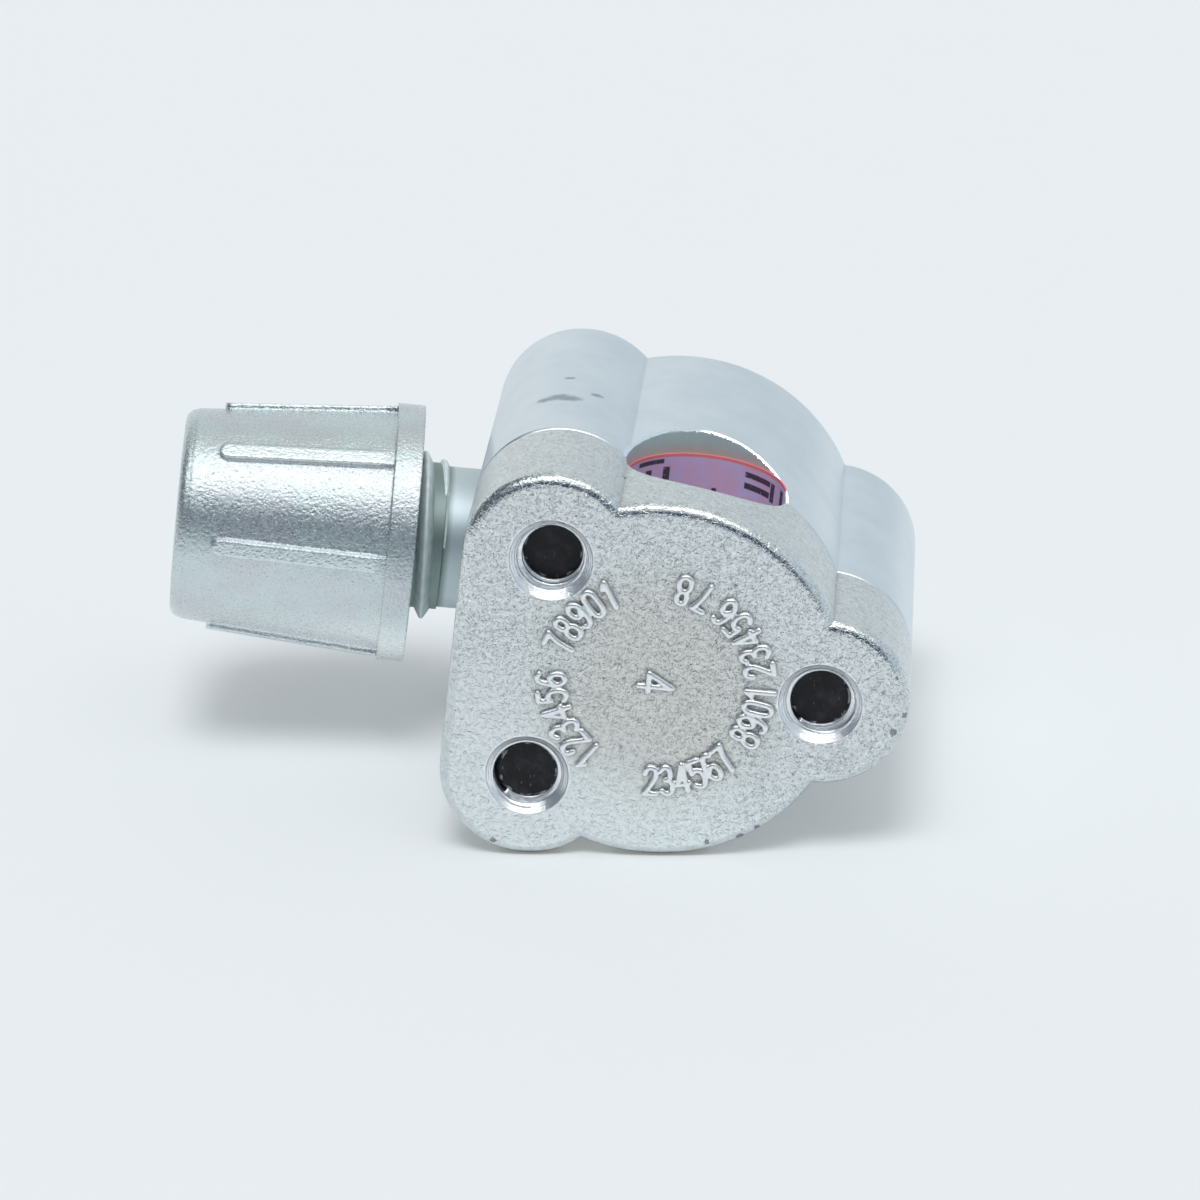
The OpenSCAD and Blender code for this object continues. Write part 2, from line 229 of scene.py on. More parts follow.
def castZinc():
    values = {
        "middle": rgb(228, 228, 224),
        "face": rgb(236, 241, 241),
        # painted light: the face lighter towards its bottom
        "low": rgb(240, 247, 246),
        "side": rgb(231, 237, 237),
        # painted shade: the lower rounded edges darker, against the floor's reflection
        "edge": rgb(220, 227, 229),
        "pit": rgb(98, 99, 102),
        "occlusionShade": rgb(112, 104, 96),              # painted shade round the numbers and in the corners, by ambient occlusion
        "mouth": rgb(250, 253, 255),
        "faceRough": 0.29,
        "sideRough": 0.34,
        "edgeRough": 0.10,
        "grainTop": (-8.5, -1.5),               # mm up the face where the coarse grain sets in
        "mouthEdge": (2.75, 2.66),              # mm from a hole's axis, outside and inside its machined mouth
        "dashDark": 0.8,
        "pitDark": 0.4,
        "occlusionShadeDark": 0.75,
        "nickDark": 0.7,
        "grainHigh": 0.55,
        "dimpleDeep": 0.2,
        "dashDeep": 0.28,
        "nickDeep": 1.2,
        "ringHigh": 0.05,
        "bumpDepth": 0.15,                      # mm
        "edgeWorn": 0.09,                       # mm
        "nicks": (                              # place in mm, and size
            (-1.64, -14.5, 1.08, 0.24), (11.81, -14.54, 1.09, 0.2), (13.87, -14.32, 1.42, 0.26),
            (14.95, -14.35, 2.06, 0.22), (23.69, -14.49, 12.25, 0.15), (24.18, -14.34, 9.72, 0.24),
            (23.44, -14.54, 8.59, 0.26), (6.72, -9.41, 23.51, 0.16), (6.55, -14.55, 7.51, 0.14),
        ),
    }
    f = Finish("frontZinc", Metallic=1.0)
    spot = f.place()
    lift = f.along(f.facing(), (0, -1, 0))      # 1 on the face, 0 on the sides
    face = lift.step(0.93, 0.995)
    right = f.along(spot, valve["right"], valve["face"])
    up = f.along(spot, valve["up"], valve["face"])
    cloud = f.noise(spot, 0.24, 3)
    worn = (up + right * 0.45 + (cloud - 0.5) * 9).step(*values["grainTop"])      # the coarse grain's share
    grainy = 0.4 + 0.6 * worn
    coarse = f.noise(spot, 2.3, 3, 0.6)
    fine = f.noise(spot, 6.5, 3, 0.65)
    grain = f.noise(spot, 3.4, 3, 0.6, 0.6)
    rounding = (lift + (grain - 0.5) * 0.05).band(0.2, 0.978, 0.012)
    dash = abs(f.noise(spot, 2.9, 2, 0.5, 1.6) - 0.5).step(0.02, 0.003)
    dash = dash * f.noise(spot, 3.1, 1).step(0.44, 0.54) * grainy * (0.6 + 0.4 * face)
    pits = f.noise(spot, 4.4, 2, 0.5, 0.3).step(0.63, 0.69) * grainy * (0.6 + 0.4 * face)
    hole = fromHoles(f, spot)
    turned = (hole + (coarse - 0.5) * 0.28).step(*values["mouthEdge"])
    ragged = (fine - 0.5) * 0.5
    nick = largest([(f.apart(spot, at) + ragged).step(size, size * 0.45) for *at, size in values["nicks"]])
    middle = f.apart(spot, valve["face"]) + (cloud - 0.5) * 5
    # painted light: the face lighter towards its bottom
    colour = f.mix(up.step(-4, -10), values["face"], values["low"])
    colour = f.mix(middle.step(9.5, 3.5), colour, values["middle"])
    colour = f.mix(face, values["side"], colour)
    # painted shade on the lower rounded edges
    colour = f.mix(rounding * up.step(4, -2), colour, values["edge"])
    mottle = (fine - 0.5) * 1.3 * grainy + (coarse - 0.5) * 0.6
    colour = f.mix((0.5 - mottle).step(0.3, 0.9) * (0.42 - face * 0.3), colour, values["pit"])
    colour = f.mix(dash * values["dashDark"], colour, values["pit"])
    colour = f.mix(pits * values["pitDark"], colour, values["pit"])
    # painted shade: darker where ambient occlusion finds corners and the numbers' feet
    occlusionShade = f.node("AmbientOcclusion", {"samples": 6}, {"Distance": 0.45 * mm}, out="AO")
    colour = f.mix(occlusionShade.step(0.96, 0.5) * values["occlusionShadeDark"], colour, values["occlusionShade"])
    colour = f.mix(turned, colour, values["mouth"])
    colour = f.mix(nick * values["nickDark"], colour, values["pit"])
    rings = (hole * 44).wave() * 0.5 + (hole * 17).wave() * 0.5
    rough = values["sideRough"] + face * (values["faceRough"] - values["sideRough"])
    rough = rough - rounding * (values["faceRough"] - values["edgeRough"])
    rough = (rough + (fine - 0.5) * 0.12) * (1 - turned) + turned * (0.27 + coarse * 0.12)
    dimple = f.noise(spot, 3.0, 1, 0.4, 0.4).step(0.5, 0.6)
    height = (grain - 0.5) * values["grainHigh"] + (coarse - 0.5) * 0.12 + 0.13
    height = height - dimple * values["dimpleDeep"] - dash.larger(pits) * values["dashDeep"]
    height = height * (0.35 + 0.65 * grainy) * (0.55 + 0.45 * face)
    height = height * (1 - turned * 0.5) * (1 - rounding * 0.3)
    height = height + rings * turned * values["ringHigh"] - nick * values["nickDeep"]
    f.surface(Base_Color=colour, Roughness=rough,
              Normal=f.bump(height, 1.0, values["bumpDepth"], values["edgeWorn"]))
    return f.material


def numberZinc():
    values = {
        "dull": rgb(236, 241, 243),
        "bright": rgb(252, 253, 253),
        "rough": 0.26,
    }
    f = Finish("numberZinc", Metallic=1.0)
    spot = f.place()
    fine = f.noise(spot, 7.0, 3)
    coarse = f.noise(spot, 2.2, 2)
    colour = f.mix(fine.step(0.35, 0.65), values["dull"], values["bright"])
    rough = values["rough"] + coarse * 0.16
    f.surface(Base_Color=colour, Roughness=rough, Normal=f.bump(fine + coarse, 0.25, 0.04))
    return f.material


def smoothZinc():
    values = {
        "top": rgb(225, 234, 238),
        "low": rgb(216, 226, 232),
        # colour of the smudges and specks, also of the painted shade in creases
        "smudgeAndShade": rgb(122, 132, 137),
        "neck": rgb(214, 225, 228),
        # painted highlight along the tube hole's rim, white on its right part; its left part a painted bluish
        # reflection
        "lipHighlight": rgb(252, 254, 255),
        "lipLeftReflection": rgb(222, 236, 252),
        "lipFaces": ((0.35, -0.55, 0.75), (0.05, -0.71, 0.70)),     # left and right
        "bore": rgb(204, 228, 238),
        "green": rgb(192, 230, 216),
        "warm": rgb(206, 219, 225),
        "glow": rgb(238, 176, 150),             # painted reflection of the slip's red line in the bore wall
        # painted shade: the port's core darker and greener where the thread's ridges stand
        "thread": rgb(150, 166, 162),
        "rough": 0.3,
        "boreWall": (5.3, 5.16),                # mm from the tube's axis
        "lipWall": (5.36, 5.3),
        "lipTop": (11.68, 11.74),               # mm from the axis of the casting's main disc
        "threadFrom": (1.9, 2.5),               # mm out along the port
        "smudgeDark": 0.62,
        "occlusionShadeDark": 0.3,
        "edgeWorn": 0.13,                       # mm
        "mouthWorn": 0.08,
        "smudges": (                            # place in mm, and size
            (1.15, -0.1, 25.3, 0.66), (1.9, 0.1, 25.45, 0.86), (2.7, -0.2, 25.47, 0.74),
            (4.3, 1.2, 25.2, 0.48), (2.43, 3.7, 25.48, 0.3),
        ),
    }
    f = Finish("bodyZinc", Metallic=1.0)
    spot = f.place()
    cloud = f.noise(spot, 0.28, 4, 0.6)
    coarse = f.noise(spot, 1.6, 3, 0.6)
    fine = f.noise(spot, 8.0, 2)
    out = f.along(spot, valve["outward"], valve["port"])
    portShare = out.step(0.02, 0.3)
    tubeX = f.along(spot, valve["right"], valve["tube"])
    tubeY = f.along(spot, (0, 1, 0), valve["tube"])
    tubeUp = f.along(spot, valve["up"], valve["tube"])
    fromTube = tubeX.hypot(tubeY)
    inBore = fromTube.step(*values["boreWall"])
    colour = f.mix(cloud.step(0.3, 0.7), values["low"], values["top"])
    tint = f.mix(tubeX.step(-3, 1) * 0.6 + cloud.step(0.4, 0.6) * 0.4, values["green"], values["warm"])
    tint = f.mix(tubeX.step(0.5, 3) * 0.8, tint, values["bore"])
    tint = f.mix(coarse.step(0.4, 0.62) * 0.5, tint, values["low"])
    # painted reflection of the slip's red line, warm in the wall just above it
    tint = f.mix(tubeUp.step(11.2, 10.2) * 0.4, tint, values["glow"])
    colour = f.mix(inBore, colour, tint)
    mouth = fromTube.band(4.6, 5.7, 0.4) * tubeUp.step(6, 8)
    right = f.along(spot, valve["right"], valve["face"])
    fromMiddle = right.hypot(f.along(spot, valve["up"], valve["face"]))
    lipHighlight = fromTube.step(*values["lipWall"]) * (fromMiddle + (fine - 0.5) * 0.5).step(*values["lipTop"])
    # painted highlight along the tube hole's rim, with a painted bluish reflection on its left part
    colour = f.mix(lipHighlight, colour, f.mix(tubeX.step(-1, 0), values["lipLeftReflection"], values["lipHighlight"]))
    colour = f.mix(portShare * 0.9, colour, values["neck"])
    # painted shade: the port's core darker and greener where the thread's ridges stand
    colour = f.mix(out.step(*values["threadFrom"]), colour, values["thread"])
    ragged = (coarse - 0.5) * 0.9 + (fine - 0.5) * 0.3
    wide = Vector((0.8, 1.15, 1))               # the smudges are longer from side to side
    drawn = f.stretch(spot, wide)
    mark = largest([(f.apart(drawn, wide * Vector(at)) + ragged).step(size, size * 0.3)
                    for *at, size in values["smudges"]])
    colour = f.mix(mark * values["smudgeDark"], colour, values["smudgeAndShade"])
    # painted shade: darker in creases and corners where ambient occlusion finds them, outside the bore
    occlusionShade = f.node("AmbientOcclusion", {"samples": 6}, {"Distance": 0.9 * mm}, out="AO")
    colour = f.mix(occlusionShade.step(0.8, 0.3) * (1 - inBore) * values["occlusionShadeDark"], colour, values["smudgeAndShade"])
    specks = f.noise(spot, 2.4, 3, 0.6).step(0.69, 0.77)
    colour = f.mix(specks * 0.2, colour, values["smudgeAndShade"])
    rough = values["rough"] + (fine - 0.5) * 0.08 + cloud * 0.06 + mark * 0.1
    rough = (rough + inBore * 0.16 + portShare * 0.2) * (1 - lipHighlight * 0.5)
    height = fine * 0.3 + (1 - specks) * 0.25 + coarse * 0.7
    lipFace = f.blend(tubeX.step(-1, 0), *values["lipFaces"])
    broken = values["edgeWorn"] + mouth * values["mouthWorn"]
    f.surface(Base_Color=colour, Roughness=rough, Metallic=1 - inBore * (1 - lipHighlight) * 0.6,
              Normal=f.bump(height, 0.25, 0.05, broken, (lipHighlight * 0.9, lipFace)))
    return f.material


def threadZinc():
    values = {
        "dull": rgb(232, 243, 242),
        "bright": rgb(248, 253, 253),
        "rough": 0.54,
    }
    f = Finish("threadZinc", Metallic=0.66)
    spot = f.place()
    coarse = f.noise(spot, 1.3, 3)
    fine = f.noise(spot, 6.0, 3)
    colour = f.mix(coarse.step(0.35, 0.65), values["dull"], values["bright"])
    rough = values["rough"] + fine * 0.16
    f.surface(Base_Color=colour, Roughness=rough, Normal=f.bump(fine + coarse, 0.5, 0.06))
    return f.material


def capZinc():
    values = {
        "base": rgb(212, 224, 224),
        "warm": rgb(211, 216, 219),
        # painted reflection of the floor: the cap lighter on its lower side
        "low": rgb(248, 252, 253),
        "dark": rgb(160, 172, 180),
        # painted highlight: the ribs lighter than the rest of the cap
        "rib": rgb(228, 239, 239),
        "rough": 0.27,
        "cone": (6.13, 7.85, 0.0730),           # from where, its radius there, and its slope
        "ribHeight": (0.2, 0.34),               # mm above the cone, where the ribs' painted highlight begins and is full
        "blotchDark": 0.3,
        "bumpDepth": 0.07,                      # mm
        "edgeWorn": 0.2,                        # mm
        "ribWorn": 0.16,                        # mm more on the ribs
    }
    f = Finish("capZinc", Metallic=1.0)
    spot = f.place()
    cloud = f.noise(spot, 0.35, 3)
    coarse = f.noise(spot, 2.1, 3, 0.65, 0.4)
    fine = f.noise(spot, 5.0, 3, 0.65)
    dots = f.cells(spot, 1.7).step(0.17, 0.08)
    out = f.along(spot, valve["outward"], valve["port"])
    coneFrom, coneRadius, coneSlope = values["cone"]
    ribbed = out.step(coneFrom + 0.4, coneFrom + 0.9)
    radius = (f.apart(spot, valve["port"]) ** 2 - out * out) ** 0.5
    onRib = (radius - coneRadius + (out - coneFrom) * coneSlope).step(*values["ribHeight"]) * ribbed
    colour = f.mix(cloud.step(0.35, 0.65), values["base"], values["warm"])
    # painted reflection of the floor: the cap lighter on its lower side
    colour = f.mix(f.along(spot, (0, 0, 1)).step(12, 8), colour, values["low"])
    # painted highlight: the ribs lighter than the rest of the cap
    colour = f.mix(onRib * 0.85, colour, values["rib"])
    colour = f.mix(fine.step(0.55, 0.72) * values["blotchDark"], colour, values["dark"])
    rough = values["rough"] - onRib * 0.07 + (coarse - 0.5) * 0.14 + (fine - 0.5) * 0.12
    height = coarse * 0.45 + fine * 1.35 + dots * 0.3
    broken = values["edgeWorn"] + ribbed * values["ribWorn"]
    f.surface(Base_Color=colour, Roughness=rough, Normal=f.bump(height, 0.7, values["bumpDepth"], broken))
    return f.material


def blackSteel():
    values = {
        "black": rgb(24, 24, 27),
        "grey": rgb(46, 47, 51),
        "bright": rgb(176, 178, 180),
        "front": (12.4, 12.7),                  # mm toward the viewer, where the ends in the face begin
        "rim": (1.74, 1.93, 0.05),              # radii and softness of the worn ring on those ends
    }
    f = Finish("screwBlack", Metallic=0.5, Specular_IOR_Level=0.5)
    spot = f.place()
    cloud = f.noise(spot, 1.1, 4, 0.6)
    fine = f.noise(spot, 6.0, 3)
    hole = fromHoles(f, spot)
    rim = hole.band(*values["rim"]) * f.along(spot, (0, -1, 0)).step(*values["front"])
    worn = rim * f.noise(spot, 1.9, 3, 0.6).step(0.52, 0.6)
    lines = f.noise(f.stretch(spot, (7, 1, 1.2)), 1.5, 2, 0.5, 0.8).step(0.68, 0.74)
    colour = f.mix(cloud.step(0.4, 0.75), values["black"], values["grey"])
    colour = f.mix(lines * 0.25, colour, values["bright"])
    colour = f.mix(worn * 0.6, colour, values["bright"])
    rough = 0.46 + (cloud - 0.5) * 0.2 - lines * 0.1 - worn * 0.15
    f.surface(Base_Color=colour, Roughness=rough, Normal=f.bump(fine * 0.6 + lines * 0.3 + cloud, 0.35, 0.05))
    return f.material


def brightSteel():
    values = {
        "dull": rgb(170, 174, 180),
        "bright": rgb(196, 199, 203),
        "rough": 0.24,
    }
    f = Finish("needleSteel", Metallic=1.0)
    spot = f.place()
    turn = f.noise(f.stretch(spot, (1, 14, 1)), 0.9, 2)
    cloud = f.noise(spot, 1.4, 3)
    colour = f.mix(cloud.step(0.3, 0.7), values["dull"], values["bright"])
    f.surface(Base_Color=colour, Roughness=values["rough"] + turn * 0.14, Normal=f.bump(turn, 0.2, 0.03))
    return f.material


def washerBrass():
    values = {
        "dull": rgb(196, 160, 92),
        "bright": rgb(214, 184, 118),
        "rough": 0.3,
    }
    f = Finish("washerBrass", Metallic=1.0)
    spot = f.place()
    cloud = f.noise(spot, 1.2, 3)
    fine = f.noise(spot, 9.0, 2)
    colour = f.mix(cloud.step(0.3, 0.7), values["dull"], values["bright"])
    f.surface(Base_Color=colour, Roughness=values["rough"] + cloud * 0.12, Normal=f.bump(fine, 0.2, 0.03))
    return f.material


def sealRubber():
    values = {
        "dark": rgb(30, 30, 31),
        "dusty": rgb(48, 47, 47),
        "rough": 0.6,
    }
    f = Finish("sealRubber", Specular_IOR_Level=0.4)
    spot = f.place()
    cloud = f.noise(spot, 0.8, 3)
    fine = f.noise(spot, 10.0, 3)
    colour = f.mix(cloud.step(0.3, 0.7), values["dark"], values["dusty"])
    f.surface(Base_Color=colour, Roughness=values["rough"] + fine * 0.15, Normal=f.bump(fine, 0.25, 0.05))
    return f.material


def slipCard():
    values = {
        "card": rgb(222, 180, 216),
        "pale": rgb(212, 192, 238),
        "line": rgb(255, 124, 118),
        "ink": rgb(44, 38, 50),
        "top": 10.2,                            # mm above the tube's middle
        "lineDepth": (-0.26, -0.16),            # mm below the top, where the line along it ends
        "bars": (                               # middle and half width in degrees, middle and height in mm
            (-46, 12, -0.46, 0.24), (-55, 6, -1.5, 0.34), (-47, 2.6, -1.5, 1.0), (-31, 2.4, -1.45, 1.1),
            (-12, 1.4, -2.6, 0.8), (6, 1.4, -2.6, 0.8), (41, 12, -0.75, 0.3), (41, 12, -1.5, 0.34),
            (57, 2.2, -1.2, 1.2), (73, 3, -1.5, 1.9),
        ),
    }
    f = Finish("slipCard", Specular_IOR_Level=0.35)
    spot = f.place()
    high = f.along(spot, valve["up"], valve["tube"]) - values["top"]
    side = f.along(spot, valve["right"], valve["tube"])
    deep = f.along(spot, (0, 1, 0), valve["tube"])
    angle = side.calc("ARCTAN2", side, deep) * math.degrees(1)
    fibre = f.noise(spot, 5.0, 4, 0.6)
    cloud = f.noise(spot, 0.6, 2)
    colour = f.mix(cloud.step(0.3, 0.7), values["card"], values["pale"])
    colour = f.mix(high.step(*values["lineDepth"]) * 0.85, colour, values["line"])
    ink = largest([
        angle.band(turn - width, turn + width, 0.8) * high.band(middle - tall / 2, middle + tall / 2, 0.07)
        for turn, width, middle, tall in values["bars"]])
    colour = f.mix(ink * fibre.step(0.22, 0.42) * 0.92, colour, values["ink"])
    f.surface(Base_Color=colour, Roughness=0.55 + fibre * 0.15, Normal=f.bump(fibre, 0.2, 0.03))
    return f.material


def makeFinishes():
    front, rear, cap = castZinc(), smoothZinc(), capZinc()
    screw, steel = blackSteel(), brightSteel()
    rubber = sealRubber()
    return {
        "clamp_plate": front, "valve_body": rear, "port_cap": cap,
        "clamp_screw_upper": screw, "clamp_screw_lower": screw, "clamp_screw_side": screw,
        "piercing_needle": steel, "needle_drive_screw": steel, "o_ring_washer": washerBrass(),
        "cap_seal": rubber, "needle_o_ring": rubber, "needle_gasket": rubber, "printed_slip": slipCard(),
    }


finishes = makeFinishes()
for name, part in nodes.items():
    part.data.materials.clear()
    part.data.materials.append(finishes[name])
print("finishes laid on", len(finishes), "parts")


# raised numbers on the front casting

numbers = {
    "radius": 6.5,              # mm, middle of the ring
    "tall": 1.75,               # mm, between the middles of the strokes
    "wide": 0.7,
    "stroke": 0.2,              # mm, half the stroke's width
    "rise": 0.3,
    "voxel": 0.055,             # mm, for the mesh that joins the strokes
    "runs": (                   # first angle, last angle, digits, 1 where their tops point outward
        (-124.3, -175.4, "123456", 1),
        (162.8, 122.5, "78901", 1),
        (-86.4, -42.7, "234567", -1),
        (-25.3, 2.4, "8901", -1),
        (15.7, 55.3, "23456", -1),
        (69.4, 81.0, "78", -1),
    ),
    "middle": ("4", (0, 0.1), -88, 2.1, 1.15),      # digit, place, turn, height, width
}

digitStrokes = {
    "0": (((0, 1), (0.42, 0.75), (0.5, 0), (0.42, -0.75), (0, -1), (-0.42, -0.75), (-0.5, 0), (-0.42, 0.75),
           (0, 1)),),
    "1": (((-0.3, 0.62), (0.08, 1)), ((0.08, 1), (0.08, -1))),
    "2": (((-0.5, 0.5), (-0.34, 0.9), (0.02, 1), (0.4, 0.86), (0.48, 0.45), (0.22, -0.05), (-0.5, -1)),
          ((-0.5, -1), (0.52, -1))),
    "3": (((-0.46, 0.74), (-0.12, 1), (0.3, 0.9), (0.42, 0.5), (0.26, 0.14), (-0.1, 0.06)),
          ((-0.1, 0.06), (0.34, -0.06), (0.5, -0.5), (0.3, -0.9), (-0.1, -1), (-0.5, -0.76))),
    "4": (((0.24, -1), (0.24, 1)), ((0.24, 1), (-0.5, -0.42)), ((-0.5, -0.42), (0.52, -0.42))),
    "5": (((0.44, 1), (-0.36, 1)), ((-0.36, 1), (-0.42, 0.14)),
          ((-0.42, 0.14), (0, 0.3), (0.4, 0.08), (0.5, -0.42), (0.28, -0.9), (-0.12, -1), (-0.5, -0.78))),
    "6": (((0.42, 0.86), (0.1, 1), (-0.28, 0.8), (-0.5, 0.1), (-0.46, -0.6), (0, -1), (0.42, -0.78),
           (0.5, -0.4), (0.3, 0.02), (-0.06, 0.06), (-0.44, -0.3)),),
    "7": (((-0.5, 1), (0.5, 1)), ((0.5, 1), (0.1, 0.2), (-0.12, -1))),
    "8": (((0, 1), (0.38, 0.82), (0.38, 0.28), (0, 0.08), (-0.38, 0.28), (-0.38, 0.82), (0, 1)),
          ((0, 0.08), (0.48, -0.2), (0.46, -0.8), (0, -1), (-0.46, -0.8), (-0.48, -0.2), (0, 0.08))),
    "9": (((-0.42, -0.86), (-0.1, -1), (0.28, -0.8), (0.5, -0.1), (0.46, 0.6), (0, 1), (-0.42, 0.78),
           (-0.5, 0.4), (-0.3, -0.02), (0.06, -0.06), (0.44, 0.3)),),
}


def smoothPath(points, parts=6):                # a smooth line through the points
    if len(points) < 3:
        return [Vector(p) for p in points]
    pts = [Vector(p) for p in points]
    closed = (pts[0] - pts[-1]).length < 1e-6
    before = pts[-2] if closed else pts[0] * 2 - pts[1]
    after = pts[1] if closed else pts[-1] * 2 - pts[-2]
    pts = [before] + pts + [after]
    path = []
    for i in range(1, len(pts) - 2):
        a, b, c, d = pts[i - 1:i + 3]
        for k in range(parts):
            t = k / parts
            path.append(0.5 * (2 * b + (c - a) * t + (2 * a - 5 * b + 4 * c - d) * t * t
                               + (3 * b - a - 3 * c + d) * t ** 3))
    path.append(pts[-2])
    return path


def addRidge(shape, path, half, rise, toPlace, around=12, capSteps=3):
    # a closed ridge with rounded ends along a flat path
    tangents = []
    for i in range(len(path)):
        step = path[min(i + 1, len(path) - 1)] - path[max(i - 1, 0)]
        tangents.append(step.normalized())
    sections = []
    for k in range(capSteps):
        a = math.pi / 2 * (k + 0.4) / (capSteps + 0.4)
        sections.append((path[0] - tangents[0] * half * math.cos(a), tangents[0], math.sin(a)))
    sections += [(p, t, 1) for p, t in zip(path, tangents)]
    for k in reversed(range(capSteps)):
        a = math.pi / 2 * (k + 0.4) / (capSteps + 0.4)
        sections.append((path[-1] + tangents[-1] * half * math.cos(a), tangents[-1], math.sin(a)))
    loops = []
    for centre, ahead, size in sections:
        across = Vector((-ahead.y, ahead.x))
        loop = []
        for j in range(around):
            turn = 2 * math.pi * j / around
            c, s = math.cos(turn), math.sin(turn)
            bow = math.copysign(abs(c) ** 0.75, c) * half * size
            up = math.copysign(abs(s) ** 0.75, s) * rise * (0.35 + 0.65 * size)
            spot = centre + across * bow
            loop.append(shape.verts.new(toPlace(spot.x, spot.y, up)))
        loops.append(loop)
    for first, second in zip(loops, loops[1:]):
        for j in range(around):
            n = (j + 1) % around
            shape.faces.new((first[j], first[n], second[n], second[j]))
    shape.faces.new(list(reversed(loops[0])))
    shape.faces.new(loops[-1])


def onFace(x, z, lift):
    return (valve["face"] + valve["right"] * x + valve["up"] * z + Vector((0, -lift, 0))) * mm


def addDigit(shape, digit, centre, turn, tall, wide, values):
    ahead = Vector((math.cos(turn), math.sin(turn)))            # the digit's own right
    above = Vector((-ahead.y, ahead.x))
    for stroke in digitStrokes[digit]:
        flat = [centre + ahead * p.x * wide + above * p.y * tall / 2 for p in smoothPath(stroke)]
        addRidge(shape, flat, values["stroke"], values["rise"], onFace)


def finishMesh(name, shape, material, smooth=True):
    bmesh.ops.recalc_face_normals(shape, faces=shape.faces)
    mesh = bpy.data.meshes.new(name)
    shape.to_mesh(mesh)
    shape.free()
    mesh.materials.append(material)
    for face in mesh.polygons:
        face.use_smooth = smooth
    return addObject(name, mesh)


def raiseNumbers(values):
    shape = bmesh.new()
    for first, last, digits, outward in values["runs"]:
        for i, digit in enumerate(digits):
            angle = math.radians(first + (last - first) * i / (len(digits) - 1))
            centre = Vector((math.cos(angle), math.sin(angle))) * values["radius"]
            turn = angle - math.pi / 2 if outward > 0 else angle + math.pi / 2
            addDigit(shape, digit, centre, turn, values["tall"], values["wide"], values)
    digit, spot, turn, tall, wide = values["middle"]
    addDigit(shape, digit, Vector(spot), math.radians(turn), tall, wide, values)
    made = finishMesh("raised_numbers", shape, numberZinc())
    fuse = made.modifiers.new("fuse", "REMESH")
    fuse.mode = "VOXEL"
    fuse.voxel_size = values["voxel"] * mm
    fuse.use_smooth_shade = True
    melt = made.modifiers.new("melt", "SMOOTH")
    melt.factor = 0.5
    melt.iterations = 2
    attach(made, "plate")


raiseNumbers(numbers)
print("numbers raised on the front casting")


# screw threads: closed ridges wound on the plain solids

threads = {
    "pitch": 1.27,              # mm, 20 to the inch
    "crest": 5.5,
    "core": 4.45,               # inside the port's core
    "start": 2.15,
    "full": 3.3,                # where the first turn has its full height
    "end": 13.9,
    "phase": (2.776, 20),       # a crest's distance and its angle from the top, read from the photo
    "capCrest": 4.87,
    "capWall": 5.7,
    "capStart": 4.95,
    "capEnd": 17.2,
    "tapPitch": 0.794,          # mm, 32 to the inch
    "tapCrest": 1.84,
    "tapWall": 2.3,
    "tapMouth": 2.65,
    "tapDepths": (1.8, 1.0, 1.3),
    "tapTurns": (150, 40, 260),
    "tapStart": 0.3,            # mm behind the face
    "runOut": 0.5,              # mm over which a ridge sinks at its end
    "least": 0.03,              # of its height, where it has sunk
}


def wind(shape, toPlace, start, end, pitch, phase, section, steps=72):
    # a ridge of that section, wound right-handed from start to end
    count = int((end - start) / pitch * steps)
    loops = []
    for i in range(count + 1):
        along = start + (end - start) * i / count
        turn = math.radians(phase[1]) + 2 * math.pi * (along - phase[0]) / pitch
        loops.append([
            shape.verts.new(toPlace(along + shift, turn, radius)) for shift, radius in section(along)])
    size = len(loops[0])
    for first, second in zip(loops, loops[1:]):
        for j in range(size):
            n = (j + 1) % size
            shape.faces.new((first[j], first[n], second[n], second[j]))
    shape.faces.new(list(reversed(loops[0])))
    shape.faces.new(loops[-1])


def ridge(wall, crest, flat=0.11, soft=0.07):   # a 60 degree thread with a softened crest
    slope = math.tan(math.radians(30))
    tall = abs(crest - wall)
    sign = 1 if crest > wall else -1
    foot = flat + tall * slope
    low = crest - sign * min(soft, tall * 0.5)
    return ((-foot, wall), (-flat - soft * slope, low), (-flat * 0.45, crest),
            (flat * 0.45, crest), (flat + soft * slope, low), (foot, wall))


def onPort(along, turn, radius):
    outward = valve["outward"]
    first = (Vector((0, 0, 1)) - outward * outward.z).normalized()
    second = outward.cross(first)
    return (valve["port"] + outward * along + (first * math.cos(turn) + second * math.sin(turn)) * radius) * mm


def rising(value, start, end):
    share = min(max((value - start) / (end - start), 0), 1)
    return share * share * (3 - 2 * share)


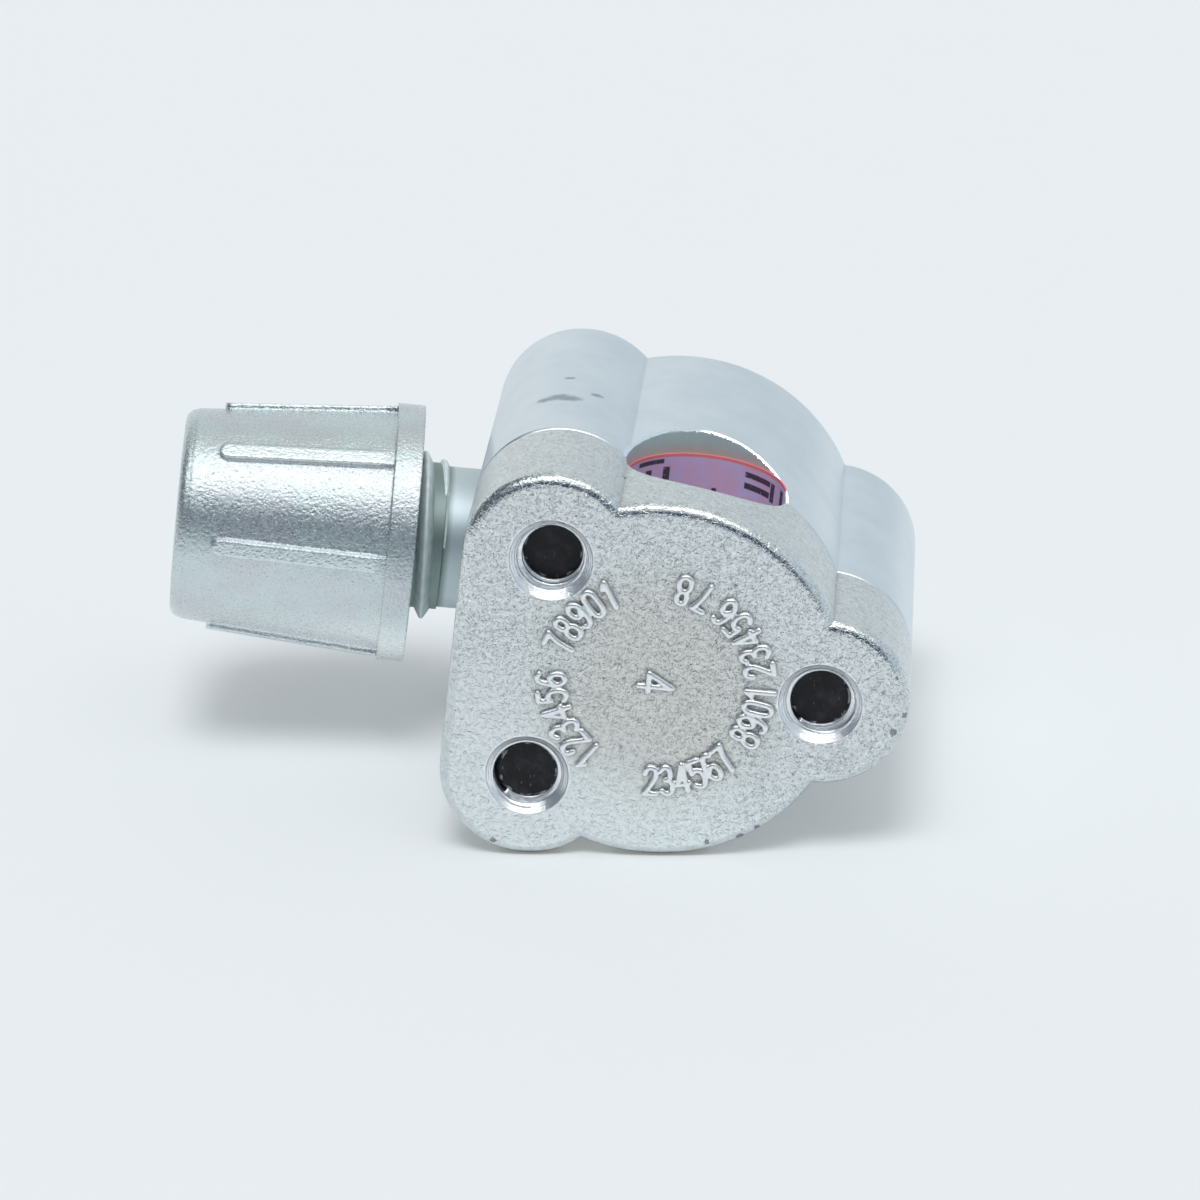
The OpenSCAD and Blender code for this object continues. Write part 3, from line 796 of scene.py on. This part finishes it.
def windThreads(values):
    finish = threadZinc()

    def sunk(wall, crest, share):               # the crest's radius where only a share of it stands out
        return wall + (crest - wall) * (values["least"] + (1 - values["least"]) * share)

    shape = bmesh.new()

    def male(along):
        share = rising(along, values["start"], values["full"])
        share = share * rising(along, values["end"], values["end"] - values["runOut"])
        return ridge(values["core"], sunk(values["core"], values["crest"], share))

    wind(shape, onPort, values["start"], values["end"], values["pitch"], values["phase"], male)
    made = finishMesh("port_thread", shape, finish)
    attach(made, "root")

    shape = bmesh.new()
    between = (values["phase"][0] + values["pitch"] / 2, values["phase"][1])

    def female(along):
        share = rising(along, values["capStart"], values["capStart"] + values["runOut"])
        return ridge(values["capWall"], sunk(values["capWall"], values["capCrest"], share))

    wind(shape, onPort, values["capStart"], values["capEnd"], values["pitch"], between, female)
    made = finishMesh("cap_thread", shape, finishes["port_cap"])
    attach(made, "cap")

    taps = zip(("upper", "lower", "side"), valve["screws"], values["tapDepths"], values["tapTurns"])
    for name, centre, depth, turn in taps:
        shape = bmesh.new()

        def inHole(along, angle, radius, at=centre):
            across, up = radius * math.sin(angle), radius * math.cos(angle)
            return Vector((at[0] + across, at[1] + along, at[2] + up)) * mm

        def tapped(along):
            crest = max(values["tapCrest"], values["tapMouth"] - along)
            return ridge(values["tapWall"], min(crest, values["tapWall"] - 0.02), 0.07, 0.05)

        wind(shape, inHole, values["tapStart"], depth + 0.2, values["tapPitch"], (0, turn), tapped)
        made = finishMesh("tapped_thread_" + name, shape, finishes["clamp_plate"])
        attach(made, "plate")


windThreads(threads)
print("threads wound")


# floor and light

studio = {
    "floorSize": 2.5,               # m, half its side
    "floor": (0.825, 0.86, 0.895, 1),
    "floorShade": (0.8126, 0.8471, 0.8816, 1),
    "floorGlow": (0.92, 0.94, 0.90, 1),
    "glowShare": 0.22,              # of what is seen of the floor; the rest is lit and takes the shadow
    "sunEnergy": 1.34,
    "sunSpread": 23,                # degrees
    "sunHeight": 63,                # degrees above the horizon, from the front
    "sunSide": -3,
    "box": (2.9, 2.97, 3.05, 1),    # the softbox itself, as metal shows it
    "boxAngle": (60, 76, 8.5),      # degrees above the horizon, and softness
    "boxSide": (-0.42, 0.42, 0.18),
    "fill": 0.7,                   # of the studio that lights matt surfaces
    "front": (0.036, 0.068, 0.118, 1),
    "horizon": (0.18, 0.19, 0.25, 1),
    "above": (0.70, 0.73, 0.73, 1),
    "backLeft": (0.86, 0.89, 0.91, 1),
    "backRight": (0.66, 0.72, 0.77, 1),
    "left": (0.13, 0.15, 0.18, 1),
    "right": (0.56, 0.64, 0.73, 1),
}


def isSeen(f):                                  # by the camera, in metal or through glass
    kinds = [f.node("LightPath", out="Is %s Ray" % kind) for kind in ("Camera", "Glossy", "Transmission")]
    return kinds[0].larger(kinds[1]).larger(kinds[2])


def layFloor(values):
    shape = bmesh.new()
    bmesh.ops.create_grid(shape, x_segments=4, y_segments=4, size=values["floorSize"])
    f = Finish("floorPaint", Specular_IOR_Level=0.0, Roughness=0.9)
    grain = f.noise(f.place(), 0.02, 2)
    f.surface(Base_Color=f.mix(grain * 0.3, values["floor"], values["floorShade"]))
    glow = f.node("Emission", None, {"Color": values["floorGlow"]})
    share = isSeen(f) * values["glowShare"]
    both = f.node("MixShader", None, {0: share, 1: Wire(f, f.shader.outputs[0]), 2: glow})
    f.feed(f.tree.nodes["Material Output"].inputs["Surface"], both)
    finishMesh("floor", shape, f.material, False)


def lightScene(values):
    lamp = bpy.data.lights.new("softbox", "SUN")
    lamp.energy = values["sunEnergy"]
    lamp.angle = math.radians(values["sunSpread"])
    holder = addObject("softbox", lamp)
    holder.visible_glossy = False               # metal shows the wide box in the world instead
    rise, turn = math.radians(values["sunHeight"]), math.radians(values["sunSide"])
    toLamp = Vector((math.sin(turn) * math.cos(rise), -math.cos(turn) * math.cos(rise), math.sin(rise)))
    holder.rotation_euler = toLamp.to_track_quat("Z", "Y").to_euler()
    world = bpy.data.worlds.new("studio")
    bpy.context.scene.world = world
    f = Finish("studio", world)
    way = f.node("TexCoord", out="Generated")
    high = f.along(way, (0, 0, 1))
    # degrees over the valve from the front: 0 in front, 90 above, 180 behind
    angle = high.calc("ARCTAN2", high, f.along(way, (0, -1, 0))) * math.degrees(1)
    side = f.along(way, (1, 0, 0))
    behind = f.mix(side.step(-0.5, 0.5), values["backLeft"], values["backRight"])
    glow = f.mix(angle.step(6, 0), values["front"], values["horizon"])
    glow = f.mix(angle.step(30, 44), glow, values["above"])
    glow = f.mix(side.step(-0.18, -0.55), glow, values["left"])
    glow = f.mix(angle.step(118, 152), glow, behind)
    glow = f.mix(side.step(0.6, 0.95), glow, values["right"])
    glow = f.mix(side.step(-0.8, -0.97), glow, values["left"])
    glow = f.mix(angle.band(*values["boxAngle"]) * side.band(*values["boxSide"]), glow, values["box"])
    background = f.tree.nodes["Background"]
    f.feed(background.inputs["Color"], glow)
    f.feed(background.inputs["Strength"], values["fill"] + isSeen(f) * (1 - values["fill"]))


layFloor(studio)
lightScene(studio)
print("floor and light set")
